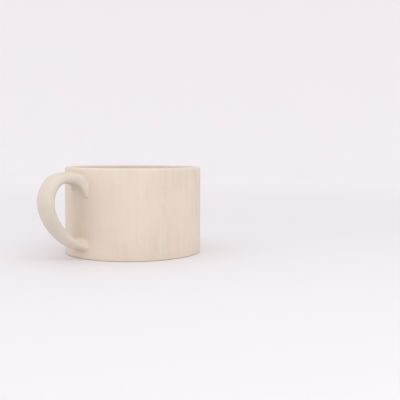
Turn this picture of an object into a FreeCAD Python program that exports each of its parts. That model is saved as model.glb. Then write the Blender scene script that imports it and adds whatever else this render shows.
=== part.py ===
"""A low, wide ceramic mug, built from the clay pieces that a potter joins.

Frame, in mm: origin at the centre of the foot, on the surface that the mug stands on. +Z is up
and the handle stands out along -X.
"""

import FreeCAD, Part
import math
import os

from FreeCAD import Vector

# Cup
OUTER_RADIUS = 47.5
HEIGHT = 60.0
WALL = 4.2
FLOOR = 4.5
LIP_ROUND = 1.6
FOOT_ROUND = 1.0
COIL = 2.0

# Handle strap: poles of its centreline as (distance from the cup's axis, height)
STRAP_PATH = [
    (43.7, 52.0),
    (62.7, 55.4),
    (69.7, 49.5),
    (74.3, 39.9),
    (70.2, 23.0),
    (53.3, 8.9),
    (43.7, 8.4),
]
STRAP_WIDTH = 14.8
STRAP_THICK_TOP = 7.3
STRAP_THICK_FOOT = 6.9

# Roundness of the strap's section: 1 is an ellipse, smaller is squarer
SECTION_POWER = 0.85
SECTION_POINTS = 24
# The same for the finger side of a collar where it meets the wall
COLLAR_POWER = 0.55

# Clay collars that blend the strap into the wall, as (reach along the strap, rise off the strap)
# at its two edges, on its finger side, and on its back, which faces away from the fingers
UPPER_COLLAR = {"edges": (6.0, 1.8), "finger": (13.5, 8.5), "back": (5.0, 0.6)}
LOWER_COLLAR = {"edges": (6.0, 1.6), "finger": (9.0, 2.4), "back": (4.0, 0.3)}
COLLAR_EDGE = 0.3
COLLAR_STATIONS = 8
COLLAR_DEPTH = 2.5
HALVINGS = 40

INNER_RADIUS = OUTER_RADIUS - WALL


def strap_centreline():
    curve = Part.BSplineCurve()
    curve.buildFromPoles([Vector(-r, 0, z) for r, z in STRAP_PATH], False, 3)
    return curve


def rounded(value, power):
    return math.copysign(abs(value) ** power, value)


def fillet_share(distance, reach):
    """Growth of an elliptic fillet: 0 at its reach from the wall, 1 at the wall."""
    part = min(1.0, max(0.0, 1 - distance / reach))
    return 1 - math.sqrt(1 - part * part)


def strap_section(curve, parameter, collar=None):
    """Closed wire across the strap, grown by the collar's fillets if there is one."""
    centre = curve.value(parameter)
    outward = Vector(0, 1, 0).cross(Vector(*curve.tangent(parameter)[0]))
    share = (parameter - curve.FirstParameter) / (curve.LastParameter - curve.FirstParameter)
    half_thick = (STRAP_THICK_TOP + (STRAP_THICK_FOOT - STRAP_THICK_TOP) * share) / 2
    grown = {"edges": STRAP_WIDTH / 2, "finger": half_thick, "back": half_thick}
    finger_power = SECTION_POWER
    if collar:
        distance = -centre.x - OUTER_RADIUS
        for way, (reach, rise) in collar.items():
            grown[way] += COLLAR_EDGE + rise * fillet_share(distance, reach)
        squareness = fillet_share(distance, collar["finger"][0])
        finger_power += (COLLAR_POWER - SECTION_POWER) * squareness
    points = []
    for step in range(SECTION_POINTS):
        angle = 2 * math.pi * step / SECTION_POINTS
        across, along = math.cos(angle), math.sin(angle)
        way, power = ("back", SECTION_POWER) if along > 0 else ("finger", finger_power)
        side = Vector(0, grown["edges"] * rounded(across, power), 0)
        points.append(centre + side + outward * grown[way] * rounded(along, power))
    outline = Part.BSplineCurve()
    outline.interpolate(Points=points, PeriodicFlag=True)
    return Part.Wire(outline.toShape())


def cup_blank():
    return Part.makeCylinder(OUTER_RADIUS, HEIGHT)


def strap_blank(curve):
    sweep = Part.BRepOffsetAPI.MakePipeShell(Part.Wire(curve.toShape()))
    sweep.setBiNormalMode(Vector(0, 1, 0))
    sweep.add(strap_section(curve, curve.FirstParameter))
    sweep.add(strap_section(curve, curve.LastParameter))
    sweep.build()
    sweep.makeSolid()
    return sweep.shape()


def cup_wall():
    outer, inner, top = OUTER_RADIUS, INNER_RADIUS, HEIGHT
    bend = LIP_ROUND * math.sqrt(0.5)
    corners = [
        Vector(inner, 0, FLOOR),
        Vector(outer, 0, FLOOR),
        Vector(outer, 0, top - LIP_ROUND),
        Vector(outer - LIP_ROUND, 0, top),
        Vector(inner + LIP_ROUND, 0, top),
        Vector(inner, 0, top - LIP_ROUND),
    ]
    outer_mid = Vector(outer - LIP_ROUND + bend, 0, top - LIP_ROUND + bend)
    inner_mid = Vector(inner + LIP_ROUND - bend, 0, top - LIP_ROUND + bend)
    edges = [
        Part.makeLine(corners[0], corners[1]),
        Part.makeLine(corners[1], corners[2]),
        Part.Arc(corners[2], outer_mid, corners[3]).toShape(),
        Part.makeLine(corners[3], corners[4]),
        Part.Arc(corners[4], inner_mid, corners[5]).toShape(),
        Part.makeLine(corners[5], corners[0]),
    ]
    return turned(edges)


def cup_floor():
    bend = FOOT_ROUND * math.sqrt(0.5)
    low = Vector(OUTER_RADIUS - FOOT_ROUND, 0, 0)
    high = Vector(OUTER_RADIUS, 0, FOOT_ROUND)
    middle = Vector(low.x + bend, 0, FOOT_ROUND - bend)
    edges = [
        Part.makeLine(Vector(0, 0, 0), low),
        Part.Arc(low, middle, high).toShape(),
        Part.makeLine(high, Vector(OUTER_RADIUS, 0, FLOOR)),
        Part.makeLine(Vector(OUTER_RADIUS, 0, FLOOR), Vector(0, 0, FLOOR)),
        Part.makeLine(Vector(0, 0, FLOOR), Vector(0, 0, 0)),
    ]
    return turned(edges)


def corner_coil():
    corner = Vector(INNER_RADIUS, 0, FLOOR)
    on_floor = Vector(INNER_RADIUS - COIL, 0, FLOOR)
    on_wall = Vector(INNER_RADIUS, 0, FLOOR + COIL)
    hollow = COIL * (1 - math.sqrt(0.5))
    middle = Vector(INNER_RADIUS - hollow, 0, FLOOR + hollow)
    edges = [
        Part.makeLine(on_floor, corner),
        Part.makeLine(corner, on_wall),
        Part.Arc(on_wall, middle, on_floor).toShape(),
    ]
    return turned(edges)


def turned(edges):
    face = Part.Face(Part.Wire(edges))
    return face.revolve(Vector(0, 0, 0), Vector(0, 0, 1), 360)


def handle_strap(curve):
    return strap_blank(curve).cut(cup_blank())


def parameter_at(curve, radius, leg_end):
    """Parameter of the centreline at a distance from the axis, on the leg with that end."""
    inside = leg_end
    outside = (curve.FirstParameter + curve.LastParameter) / 2
    for _ in range(HALVINGS):
        guess = (inside + outside) / 2
        if -curve.value(guess).x < radius:
            inside = guess
        else:
            outside = guess
    return guess


def collar(curve, sizes, leg_end):
    """One collar: a flared sleeve round the strap, from inside the wall to its feathered edge."""
    reach = max(length for length, rise in sizes.values())
    stations = []
    for step in range(COLLAR_STATIONS):
        turn = 0.5 * math.pi * step / (COLLAR_STATIONS - 1)
        stations.append(reach * (1 - math.sin(turn)))
    stations.append(-COLLAR_DEPTH)
    sections = []
    for distance in stations:
        parameter = parameter_at(curve, OUTER_RADIUS + distance, leg_end)
        sections.append(strap_section(curve, parameter, sizes))
    sleeve = Part.makeLoft(sections, True, True).cut(cup_blank()).cut(strap_blank(curve))
    return max(sleeve.Solids, key=lambda solid: solid.Volume)


def main():
    curve = strap_centreline()
    parts = {
        "cup_wall": cup_wall(),
        "cup_floor": cup_floor(),
        "corner_coil": corner_coil(),
        "handle_strap": handle_strap(curve),
        "upper_handle_joint": collar(curve, UPPER_COLLAR, curve.FirstParameter),
        "lower_handle_joint": collar(curve, LOWER_COLLAR, curve.LastParameter),
    }
    os.makedirs("parts", exist_ok=True)
    for name, shape in parts.items():
        shape.exportStep(f"parts/{name}.step")
        box = shape.BoundBox
        print(
            f"{name}: {len(shape.Solids)} solid, valid {shape.isValid()}, {shape.Volume / 1000:.2f} ml, "
            f"x {box.XMin:.2f}..{box.XMax:.2f}, y {box.YMin:.2f}..{box.YMax:.2f}, "
            f"z {box.ZMin:.2f}..{box.ZMax:.2f}"
        )


main()
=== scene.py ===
"""Looks of a low, wide unglazed ceramic mug, in metres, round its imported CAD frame."""

import math

import bpy
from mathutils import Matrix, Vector


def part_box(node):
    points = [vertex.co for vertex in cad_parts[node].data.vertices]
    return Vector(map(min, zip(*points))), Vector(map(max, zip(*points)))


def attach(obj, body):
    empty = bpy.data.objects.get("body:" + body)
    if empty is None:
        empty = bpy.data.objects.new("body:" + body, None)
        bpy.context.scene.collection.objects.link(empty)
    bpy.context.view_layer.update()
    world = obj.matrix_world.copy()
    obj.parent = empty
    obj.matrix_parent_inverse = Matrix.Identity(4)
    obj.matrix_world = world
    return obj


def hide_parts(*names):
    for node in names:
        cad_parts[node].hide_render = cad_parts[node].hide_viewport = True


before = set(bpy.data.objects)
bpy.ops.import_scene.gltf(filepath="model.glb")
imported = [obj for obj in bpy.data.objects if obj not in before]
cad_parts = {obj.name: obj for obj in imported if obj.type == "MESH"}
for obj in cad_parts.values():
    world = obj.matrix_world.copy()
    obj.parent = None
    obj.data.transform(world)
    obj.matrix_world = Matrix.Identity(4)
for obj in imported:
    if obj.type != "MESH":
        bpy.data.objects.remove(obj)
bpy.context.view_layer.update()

MM = 0.001

# Cup, read from the frame
WALL_LOW, WALL_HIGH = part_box("cup_wall")
COIL_LOW, COIL_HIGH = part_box("corner_coil")
OUTER_RADIUS = WALL_HIGH[0]
INNER_RADIUS = COIL_HIGH[0]
HEIGHT = WALL_HIGH[2]
FLOOR_TOP = WALL_LOW[2]
COIL = COIL_HIGH[2] - COIL_LOW[2]
LIP_ROUND = 1.6 * MM
FOOT_ROUND = 1.0 * MM
ROUND_STEPS = 10
AROUND = 288
WALL_STEP = 2.0 * MM

# Handle: poles of the strap's centreline as (distance from the cup's axis, height), and its section
STRAP_PATH = (
    (0.0437, 0.0520),
    (0.0627, 0.0554),
    (0.0697, 0.0495),
    (0.0743, 0.0399),
    (0.0702, 0.0230),
    (0.0533, 0.0089),
    (0.0437, 0.0084),
)
STRAP_WIDTH = 14.8 * MM
STRAP_THICK_TOP = 7.3 * MM
STRAP_THICK_FOOT = 6.9 * MM
SECTION_POWER = 0.85
SECTION_POINTS = 72
STRAP_STATIONS = 90
ROOT_STATIONS = 26
ROOT_DEPTH = 1.5 * MM
HALVINGS = 50
TANGENT_STEP = 1e-4
SAME_POINT = 1e-7

# Fillets at the strap's roots, as (reach along the strap, rise off the strap). The edges also droop
# down the wall, and the finger side is squarer there and arched between its two edges. The edge on
# the +Y side keeps only a part of the droop and the arch: its real shape isn't known.
UPPER_ROOT = {
    "edges": (0.0060, 0.0020),
    "finger": (0.0135, 0.0084),
    "back": (0.0050, 0.0003),
    "droop": (0.0110, 0.0044),
    "power": 0.5,
    "hollow": 0.28,
}
LOWER_ROOT = {
    "edges": (0.0065, 0.0022),
    "finger": (0.0100, 0.0036),
    "back": (0.0045, 0.0003),
    "droop": (0.0080, 0.0004),
    "power": 0.6,
    "hollow": 1.0,
}
ARCH_POWER = 1.4
DROOP_POWER = 3
PLUS_Y_KEPT = 0.4

# Hand-made unevenness of the cup, always inwards or down so that the mug keeps its size. A wave is
# (waves round the cup, phase, phase per metre of height).
WOBBLE = 0.10 * MM
WOBBLE_WAVE = (3, 1.3, 18)
RIPPLE = 0.05 * MM
RIPPLE_WAVE = (7, -0.6, 70)
LIP_DIP = 0.15 * MM
LIP_WAVE = (2, 0.7, 0)
LIP_ZONE = 10 * MM

# Fired clay and studio paper
CREAM_DEEP = (0.700, 0.610, 0.505)
CREAM_LIGHT = (0.755, 0.665, 0.560)
CREAM_STREAK = (0.77, 0.70, 0.58)
CREAM_SPECK = (0.60, 0.51, 0.40)
# Painted shade: between these two distances from the cup's axis, the handle's clay turns to these greyer,
# darker tones, because that part faces away from the key light.
HANDLE_SHADE_DEEP = (0.660, 0.595, 0.510)
HANDLE_SHADE_LIGHT = (0.705, 0.640, 0.555)
HANDLE_SHADE_START = 0.052
HANDLE_SHADE_END = 0.070
# Painted light on the studio paper: it is painted paler away from the mug, so that the backdrop, which gets
# less light, looks as bright as the floor.
PAPER_NEAR = (0.80, 0.785, 0.805)
PAPER_FAR = (0.925, 0.905, 0.92)

# Noise of the clay: scales per metre, and the bands of noise in which a mark fades in
CLOUD_SCALE, CLOUD_BAND = 45, (0.3, 0.7)
STREAK_SCALE, STREAK_BAND, STREAK_SHARE = 330, (0.35, 0.75), 0.5
SCRAPE_SCALE, SCRAPE_BAND, SCRAPE_SHARE = 560, (0.68, 0.75), 0.24
SPECK_SCALE, SPECK_BAND, SPECK_SHARE = 1400, (0.66, 0.78), 0.5
ROUGH_SCALE, ROUGH_BAND, ROUGH_LOW, ROUGH_HIGH = 300, (0.3, 0.7), 0.78, 0.92
PIT_SCALE, PIT_BAND = 420, (0.17, 0.24)
PEEL_SCALE = 420
GRAIN_SCALE, GRAIN_ROUGHNESS = 2600, 0.6
UPRIGHT_STRETCH = 0.07

# Depths of the clay's relief, and their strengths
PEEL_DEPTH, PEEL_STRENGTH = 0.10 * MM, 0.35
GRAIN_DEPTH, GRAIN_STRENGTH = 0.04 * MM, 0.5
SCRAPE_DEPTH, SCRAPE_STRENGTH = -0.15 * MM, 0.8
PIT_DEPTH, PIT_STRENGTH = 0.20 * MM, 0.6

# Studio: a flat floor that rises into a round backdrop, in metres from the mug
FLOOR_RINGS = (0.05, 0.3)
FLOOR_FLAT = 1.3
BACKDROP_RISE = 0.9
BACKDROP_TOP = 1.3
STUDIO_AROUND = 96
BEND_STEPS = 16
# Distances over which the paper's painted light goes from the near tone to the far one.
PAPER_BAND = (0.25, 1.0)

# Lights: place as (right, back, height) from the viewer's side, then watts and tint
SOFTBOX_SIZE = 0.7
KEY_PLACE, KEY_POWER, KEY_TINT = (0.30, 0.60, 0.55), 1.6, (1.0, 0.98, 0.95)
FILL_PLACE, FILL_POWER, FILL_TINT = (-0.70, 0.35, 0.25), 0.7, (1.0, 0.98, 0.96)
AIR_TINT = (1.0, 0.985, 1.0)

# Camera: the photograph's viewing angle on the mug
VIEW_TURN = math.radians(47.856)
VIEW_PITCH = math.radians(4.53)
VIEW_ROLL = math.radians(-0.25)
CAMERA_BACK = 0.44166
CAMERA_RIGHT = 0.04714
CAMERA_HEIGHT = 0.07131
LENS = 56.14
SENSOR = 36.0
CLIP_NEAR, CLIP_FAR = 0.01, 20.0


def mesh_object(name, points, faces, sharp_rings=()):
    """Smooth-shaded object; edges with both ends in one of the sharp rings stay crisp."""
    mesh = bpy.data.meshes.new(name)
    mesh.from_pydata(points, [], faces)
    mesh.validate()
    mesh.polygons.foreach_set("use_smooth", [True] * len(mesh.polygons))
    rings = [set(ring) for ring in sharp_rings]
    for edge in mesh.edges:
        a, b = edge.vertices
        edge.use_edge_sharp = any(a in ring and b in ring for ring in rings)
    mesh.update()
    piece = bpy.data.objects.new(name, mesh)
    bpy.context.scene.collection.objects.link(piece)
    return piece


def wave(shape, angle, height):
    """Height of a wave round the cup, from 0 to 1."""
    around, phase, twist = shape
    return 0.5 + 0.5 * math.sin(around * angle + phase + twist * height)


def uneven(angle, height):
    """How far the clay's surface falls inside the true cylinder."""
    return WOBBLE * wave(WOBBLE_WAVE, angle, height) + RIPPLE * wave(RIPPLE_WAVE, angle, height)


def lip_dip(angle, height):
    near_lip = max(0.0, 1 - (HEIGHT - height) / LIP_ZONE)
    return LIP_DIP * near_lip**2 * wave(LIP_WAVE, angle, height)


def arc(centre, radius, start, end, steps=ROUND_STEPS):
    """Points of an arc in the (radius, height) plane, angles in degrees."""
    turns = [math.radians(start + (end - start) * k / steps) for k in range(steps + 1)]
    return [(centre[0] + radius * math.cos(t), centre[1] + radius * math.sin(t)) for t in turns]


def straight(start, end, step=WALL_STEP):
    """Points strictly between two ends, evenly spaced."""
    count = max(1, round(math.dist(start, end) / step))
    shares = [k / count for k in range(1, count)]
    return [tuple(a + (b - a) * s for a, b in zip(start, end)) for s in shares]


def turned(name, profile, crisp=()):
    """Closed solid turned about Z from a (radius, height) profile.

    A profile that starts and ends on the axis closes there; any other closes on itself.
    """
    on_axis = profile[0][0] == 0
    inner = profile[1:-1] if on_axis else profile
    points, faces = [], []
    for radius, height in inner:
        for k in range(AROUND):
            angle = 2 * math.pi * k / AROUND
            r = radius - uneven(angle, height) * min(1.0, radius / INNER_RADIUS)
            z = height - lip_dip(angle, height)
            points.append((r * math.cos(angle), r * math.sin(angle), z))
    rows = len(inner)
    for row in range(rows - 1 if on_axis else rows):
        a, b = row * AROUND, (row + 1) % rows * AROUND
        for k in range(AROUND):
            n = (k + 1) % AROUND
            faces.append((a + k, a + n, b + n, b + k))
    if on_axis:
        first, last = len(points), len(points) + 1
        points += [(0, 0, profile[0][1]), (0, 0, profile[-1][1])]
        end = (rows - 1) * AROUND
        for k in range(AROUND):
            n = (k + 1) % AROUND
            faces.append((first, n, k))
            faces.append((last, end + k, end + n))
    rings = [range(row * AROUND, (row + 1) * AROUND) for row in crisp_rows(inner, crisp)]
    return mesh_object(name, points, faces, rings)


def crisp_rows(profile, crisp):
    """Rows of a profile that lie on one of the crisp points."""
    return [row for row, point in enumerate(profile) if any(math.dist(point, c) < SAME_POINT for c in crisp)]


def wall_piece():
    foot_out, foot_in = (OUTER_RADIUS, FLOOR_TOP), (INNER_RADIUS, FLOOR_TOP)
    shoulder = HEIGHT - LIP_ROUND
    profile = [foot_out]
    profile += straight(foot_out, (OUTER_RADIUS, shoulder))
    profile += arc((OUTER_RADIUS - LIP_ROUND, shoulder), LIP_ROUND, 0, 90)
    profile += arc((INNER_RADIUS + LIP_ROUND, shoulder), LIP_ROUND, 90, 180)
    profile += straight((INNER_RADIUS, shoulder), foot_in)
    profile.append(foot_in)
    return turned("wall_clay", profile[::-1], (foot_out, foot_in))


def floor_piece():
    edge = (OUTER_RADIUS, FLOOR_TOP)
    middle_top, middle_low = (0, FLOOR_TOP), (0, 0)
    profile = [middle_low]
    profile += straight(middle_low, (OUTER_RADIUS - FOOT_ROUND, 0))
    profile += arc((OUTER_RADIUS - FOOT_ROUND, FOOT_ROUND), FOOT_ROUND, -90, 0)
    profile += straight((OUTER_RADIUS, FOOT_ROUND), edge) + [edge]
    profile += straight(edge, middle_top) + [middle_top]
    return turned("floor_clay", profile, (edge,))


def coil_piece():
    corner = (INNER_RADIUS, FLOOR_TOP)
    hollow = (INNER_RADIUS - COIL, FLOOR_TOP + COIL)
    profile = [corner] + arc(hollow, COIL, 0, -90)
    return turned("coil_clay", profile, (corner, profile[1], profile[-1]))


def spline_point(share):
    """Point of the clamped cubic B-spline over STRAP_PATH, with the share running 0 to 1."""
    spans = len(STRAP_PATH) - 3
    knots = [0.0] * 3 + [k / spans for k in range(spans + 1)] + [1.0] * 3
    span = min(int(share * spans), spans - 1) + 3
    work = [Vector(STRAP_PATH[span - 3 + j]) for j in range(4)]
    for level in range(1, 4):
        for j in range(3, level - 1, -1):
            low, high = knots[span - 3 + j], knots[span + 1 + j - level]
            work[j] = work[j - 1].lerp(work[j], (share - low) / (high - low))
    return work[3]


def share_at(radius, leg_end):
    """Share along the strap where its centreline is at a distance from the axis."""
    inside, outside = leg_end, 0.5
    for _ in range(HALVINGS):
        guess = (inside + outside) / 2
        if spline_point(guess).x < radius:
            inside = guess
        else:
            outside = guess
    return guess


def rounded(value, power):
    return math.copysign(abs(value) ** power, value)


def fillet_share(distance, reach):
    part = min(1.0, max(0.0, 1 - distance / reach))
    return 1 - math.sqrt(1 - part * part)


def strap_ring(share, root=None):
    """One ring of points round the strap, flared and bent onto the wall near a root."""
    centre = spline_point(share)
    ahead = spline_point(min(1.0, share + TANGENT_STEP)) - spline_point(max(0.0, share - TANGENT_STEP))
    ahead.normalize()
    outward = Vector((-ahead.y, ahead.x))
    half_thick = (STRAP_THICK_TOP + (STRAP_THICK_FOOT - STRAP_THICK_TOP) * share) / 2
    grown = {"edges": STRAP_WIDTH / 2, "finger": half_thick, "back": half_thick}
    finger_power, droop, hug, hollow = SECTION_POWER, 0.0, 0.0, 1.0
    if root:
        distance = centre.x - OUTER_RADIUS
        for way in grown:
            reach, rise = root[way]
            grown[way] += rise * fillet_share(distance, reach)
        reach = root["finger"][0]
        finger_power += (root["power"] - SECTION_POWER) * fillet_share(distance, reach)
        droop = root["droop"][1] * fillet_share(distance, root["droop"][0])
        hug = min(1.0, max(0.0, 1 - distance / reach))
        hollow = root["hollow"]
    ring = []
    for k in range(SECTION_POINTS):
        angle = 2 * math.pi * k / SECTION_POINTS
        across, along = math.cos(angle), math.sin(angle)
        way, power = ("back", SECTION_POWER) if along > 0 else ("finger", finger_power)
        edge_share = abs(rounded(across, power))
        side = math.copysign(grown["edges"] * edge_share, across)
        kept = PLUS_Y_KEPT if side > 0 else 1.0
        lift = grown[way]
        if way == "finger":
            arch = hollow + (1 - hollow) * edge_share**ARCH_POWER * kept
            lift = half_thick + (lift - half_thick) * arch
        spot = centre + outward * lift * rounded(along, power)
        sagitta = OUTER_RADIUS - math.sqrt(OUTER_RADIUS**2 - side**2)
        ring.append((-(spot.x - hug * sagitta), side, spot.y - kept * droop * edge_share**DROOP_POWER))
    return ring


def skin(name, rings):
    """Closed tube through rings of points, with flat crisp ends."""
    points = [point for ring in rings for point in ring]
    faces = []
    for row in range(len(rings) - 1):
        a, b = row * SECTION_POINTS, (row + 1) * SECTION_POINTS
        for k in range(SECTION_POINTS):
            n = (k + 1) % SECTION_POINTS
            faces.append((a + k, b + k, b + n, a + n))
    last = (len(rings) - 1) * SECTION_POINTS
    faces.append(tuple(range(SECTION_POINTS)))
    faces.append(tuple(reversed(range(last, last + SECTION_POINTS))))
    ends = (range(SECTION_POINTS), range(last, last + SECTION_POINTS))
    return mesh_object(name, points, faces, ends)


def root_piece(name, root, leg_end):
    reach = root["finger"][0]
    turns = [0.5 * math.pi * k / ROOT_STATIONS for k in range(ROOT_STATIONS + 1)]
    distances = [-ROOT_DEPTH] + [reach * (1 - math.cos(t)) for t in turns]
    rings = [strap_ring(share_at(OUTER_RADIUS + d, leg_end), root) for d in distances]
    return skin(name, rings if leg_end == 0.0 else rings[::-1])


def strap_piece():
    start = share_at(OUTER_RADIUS + UPPER_ROOT["finger"][0], 0.0)
    end = share_at(OUTER_RADIUS + LOWER_ROOT["finger"][0], 1.0)
    shares = [start + (end - start) * k / STRAP_STATIONS for k in range(STRAP_STATIONS + 1)]
    return skin("strap_clay", [strap_ring(share) for share in shares])


def node(tree, kind, **inputs):
    made = tree.nodes.new(kind)
    for key, value in inputs.items():
        made.inputs[key.replace("_", " ")].default_value = value
    return made


def noise(tree, where, scale, detail, roughness=0.5):
    made = node(tree, "ShaderNodeTexNoise", Scale=scale, Detail=detail, Roughness=roughness)
    tree.links.new(where, made.inputs["Vector"])
    return made.outputs["Fac"]


def ramp(tree, value, band, low, high):
    """Colour or grey that goes from low to high while the value crosses the band."""
    made = tree.nodes.new("ShaderNodeValToRGB")
    tree.links.new(value, made.inputs["Fac"])
    for stop, place, tint in zip(made.color_ramp.elements, band, (low, high)):
        stop.position, stop.color = place, colour(tint)
    return made.outputs["Color"]


def colour(tint):
    return (tint, tint, tint, 1) if isinstance(tint, (int, float)) else (*tint, 1)


def mixed(tree, share, first, second):
    made = tree.nodes.new("ShaderNodeMix")
    made.data_type = "RGBA"
    for value, socket in ((share, 0), (first, 6), (second, 7)):
        if isinstance(value, bpy.types.NodeSocket):
            tree.links.new(value, made.inputs[socket])
        else:
            made.inputs[socket].default_value = value if socket == 0 else colour(value)
    return made.outputs[2]


def distance_from_origin(tree, place):
    made = tree.nodes.new("ShaderNodeVectorMath")
    made.operation = "LENGTH"
    tree.links.new(place, made.inputs[0])
    return made.outputs["Value"]


def bump(tree, height, depth, strength, below=None):
    made = node(tree, "ShaderNodeBump", Strength=strength, Distance=depth)
    tree.links.new(height, made.inputs["Height"])
    if below:
        tree.links.new(below, made.inputs["Normal"])
    return made.outputs["Normal"]


def bisque(name, marks, smooth, painted_handle_shade=False):
    """Matte fired clay: mottled cream, fine grain, pinholes and upright scraping marks.

    With the handle's painted shade on, the clay turns greyer and darker away from the cup's axis, where the
    handle faces away from the key light.
    """
    material = bpy.data.materials.new(name)
    material.use_nodes = True
    tree = material.node_tree
    shader = tree.nodes["Principled BSDF"]
    place = tree.nodes.new("ShaderNodeTexCoord").outputs["Object"]
    upright = node(tree, "ShaderNodeMapping", Scale=(1, 1, UPRIGHT_STRETCH))
    tree.links.new(place, upright.inputs["Vector"])
    upright = upright.outputs["Vector"]

    clouds = noise(tree, place, CLOUD_SCALE, 3)
    tone = ramp(tree, clouds, CLOUD_BAND, CREAM_DEEP, CREAM_LIGHT)
    # Painted shade: the clay greys and darkens further out on the handle.
    if painted_handle_shade:
        shaded_tone = ramp(tree, clouds, CLOUD_BAND, HANDLE_SHADE_DEEP, HANDLE_SHADE_LIGHT)
        reach = node(tree, "ShaderNodeMapRange", From_Min=HANDLE_SHADE_START, From_Max=HANDLE_SHADE_END)
        tree.links.new(distance_from_origin(tree, place), reach.inputs["Value"])
        tone = mixed(tree, reach.outputs["Result"], tone, shaded_tone)
    streaks = ramp(tree, noise(tree, upright, STREAK_SCALE, 3), STREAK_BAND, 0.0, 1.0)
    tone = mixed(tree, streaks, tone, mixed(tree, STREAK_SHARE * marks, tone, CREAM_STREAK))
    scrapes = ramp(tree, noise(tree, upright, SCRAPE_SCALE, 1), SCRAPE_BAND, 0.0, SCRAPE_SHARE * marks)
    tone = mixed(tree, scrapes, tone, CREAM_SPECK)
    specks = ramp(tree, noise(tree, place, SPECK_SCALE, 2), SPECK_BAND, 0.0, SPECK_SHARE)
    tone = mixed(tree, specks, tone, CREAM_SPECK)
    tree.links.new(tone, shader.inputs["Base Color"])

    rough = ramp(tree, noise(tree, place, ROUGH_SCALE, 3), ROUGH_BAND, ROUGH_LOW, ROUGH_HIGH)
    tree.links.new(rough, shader.inputs["Roughness"])
    shader.inputs["Specular IOR Level"].default_value = 0.3
    shader.inputs["Sheen Weight"].default_value = 0.05

    pits = ramp(tree, noise(tree, place, PIT_SCALE, 1), PIT_BAND, 0.0, 1.0)
    grain = noise(tree, place, GRAIN_SCALE, 3, GRAIN_ROUGHNESS)
    orange_peel = noise(tree, place, PEEL_SCALE, 2)
    normal = bump(tree, orange_peel, PEEL_DEPTH, PEEL_STRENGTH * smooth)
    normal = bump(tree, grain, GRAIN_DEPTH, GRAIN_STRENGTH * smooth, normal)
    normal = bump(tree, scrapes, SCRAPE_DEPTH, SCRAPE_STRENGTH * marks, normal)
    normal = bump(tree, pits, PIT_DEPTH, PIT_STRENGTH, normal)
    tree.links.new(normal, shader.inputs["Normal"])
    return material


def finish_piece(piece, material, node_name):
    piece.data.materials.append(material)
    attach(piece, "root")
    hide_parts(node_name)


def studio():
    """Pale floor that curves up into a round backdrop, open at the top."""
    profile = [(radius, 0.0) for radius in (*FLOOR_RINGS, FLOOR_FLAT)]
    for turn in quarter(BEND_STEPS):
        out, up = math.sin(turn), 1 - math.cos(turn)
        profile.append((FLOOR_FLAT + BACKDROP_RISE * out, BACKDROP_RISE * up))
    profile.append((FLOOR_FLAT + BACKDROP_RISE, BACKDROP_TOP))
    points, faces = [], []
    around = STUDIO_AROUND
    for radius, height in profile:
        for k in range(around):
            angle = 2 * math.pi * k / around
            points.append((radius * math.cos(angle), radius * math.sin(angle), height))
    for row in range(len(profile) - 1):
        for k in range(around):
            n = (k + 1) % around
            a, b = row * around, (row + 1) * around
            faces.append((a + k, b + k, b + n, a + n))
    faces.append(tuple(range(around)))
    stage = mesh_object("studio_floor", points, faces)
    material = bpy.data.materials.new("studio_paper")
    material.use_nodes = True
    tree = material.node_tree
    shader = tree.nodes["Principled BSDF"]
    place = tree.nodes.new("ShaderNodeTexCoord").outputs["Object"]
    # Painted light: the paper grows paler with distance, so the backdrop looks as bright as the floor.
    paper_painted_light = ramp(tree, distance_from_origin(tree, place), PAPER_BAND, PAPER_NEAR, PAPER_FAR)
    tree.links.new(paper_painted_light, shader.inputs["Base Color"])
    shader.inputs["Roughness"].default_value = 0.9
    shader.inputs["Specular IOR Level"].default_value = 0.1
    stage.data.materials.append(material)


def quarter(steps):
    """Angles of a quarter turn, without its start."""
    return [0.5 * math.pi * (k + 1) / steps for k in range(steps)]


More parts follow.
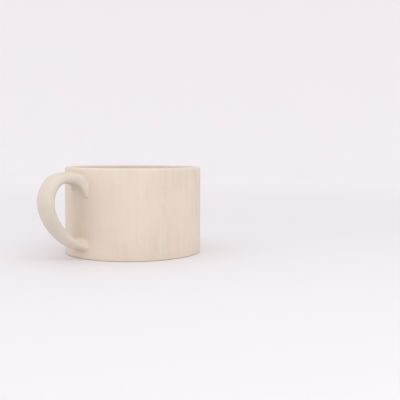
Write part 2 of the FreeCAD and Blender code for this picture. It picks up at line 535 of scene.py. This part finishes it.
def area_light(name, place, power, tint):
    """Round softbox at a place of the viewer's side, aimed at the mug's middle."""
    lamp = bpy.data.lights.new(name, "AREA")
    lamp.shape, lamp.size, lamp.energy, lamp.color = "DISK", SOFTBOX_SIZE, power, tint
    holder = bpy.data.objects.new(name, lamp)
    bpy.context.scene.collection.objects.link(holder)
    holder.location = view_point(*place)
    aim = Vector((0, 0, HEIGHT / 2)) - holder.location
    holder.rotation_euler = aim.to_track_quat("-Z", "Y").to_euler()


def lights():
    world = bpy.data.worlds.new("studio_air")
    world.use_nodes = True
    air = world.node_tree.nodes["Background"]
    air.inputs["Color"].default_value = colour(AIR_TINT)
    air.inputs["Strength"].default_value = 1.0
    bpy.context.scene.world = world
    area_light("key_softbox", KEY_PLACE, KEY_POWER, KEY_TINT)
    area_light("fill_softbox", FILL_PLACE, FILL_POWER, FILL_TINT)


def view_point(right, back, height):
    """Point of the studio given from the viewer's side: right of the mug, back from it, up."""
    ahead = Vector((math.sin(VIEW_TURN), math.cos(VIEW_TURN), 0))
    rightward = Vector((math.cos(VIEW_TURN), -math.sin(VIEW_TURN), 0))
    return rightward * right - ahead * back + Vector((0, 0, height))


def camera():
    lens = bpy.data.cameras.new("camera")
    lens.lens, lens.sensor_width = LENS, SENSOR
    lens.clip_start, lens.clip_end = CLIP_NEAR, CLIP_FAR
    holder = bpy.data.objects.new("camera", lens)
    bpy.context.scene.collection.objects.link(holder)
    holder.location = view_point(CAMERA_RIGHT, CAMERA_BACK, CAMERA_HEIGHT)
    holder.rotation_euler = (math.pi / 2 - VIEW_PITCH, VIEW_ROLL, -VIEW_TURN)
    bpy.context.scene.camera = holder


bpy.context.scene.view_settings.view_transform = "Standard"
camera()
lights()
studio()

wall_clay = bisque("bisque_scraped", 1.0, 1.0)
floor_clay = bisque("bisque_floor", 0.3, 1.0)
# The handle's clay carries painted shade and gets greyer and darker away from the cup.
handle_clay = bisque("bisque_sponged", 0.15, 0.8, painted_handle_shade=True)

finish_piece(wall_piece(), wall_clay, "cup_wall")
finish_piece(floor_piece(), floor_clay, "cup_floor")
finish_piece(coil_piece(), floor_clay, "corner_coil")
finish_piece(strap_piece(), handle_clay, "handle_strap")
finish_piece(root_piece("upper_root_clay", UPPER_ROOT, 0.0), handle_clay, "upper_handle_joint")
finish_piece(root_piece("lower_root_clay", LOWER_ROOT, 1.0), handle_clay, "lower_handle_joint")
